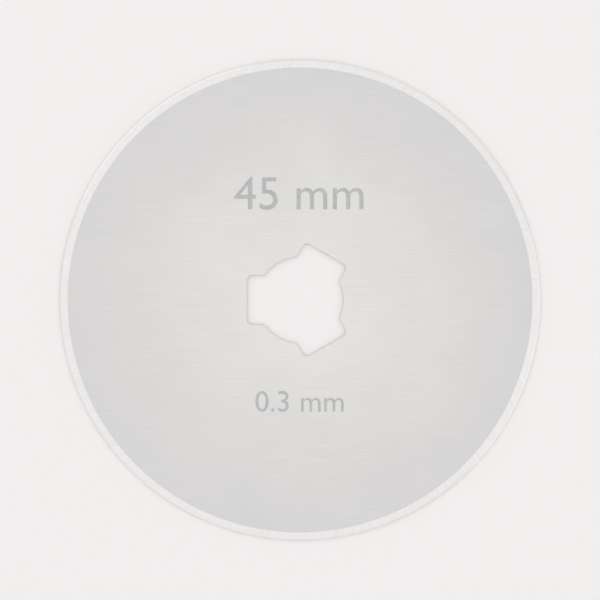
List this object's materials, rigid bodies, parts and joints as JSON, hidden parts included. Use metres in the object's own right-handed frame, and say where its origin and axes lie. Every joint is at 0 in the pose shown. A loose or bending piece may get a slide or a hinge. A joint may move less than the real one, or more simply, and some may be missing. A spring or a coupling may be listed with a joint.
{
  "type": "rotary cutter blade",
  "caption": "Thin flat round steel blade for a hand-held rotary cutter, ground and honed to a sharp edge all round, with a lobed centre hole that fits over the handle's post.",
  "frame": {"origin": "on the axis of the centre hole, in the plane of the lower flat face that the blade lies on", "axes": "+Z along the disc's axis and up, out of the upper flat face; -X towards the middle of one lobe of the centre hole"},
  "size_m": [0.045, 0.045, 0.0003],
  "materials": {
    "blade_steel": "satin"
  },
  "bodies": {
    "root": {"blade": "blade_steel"}
  },
  "joints": []
}
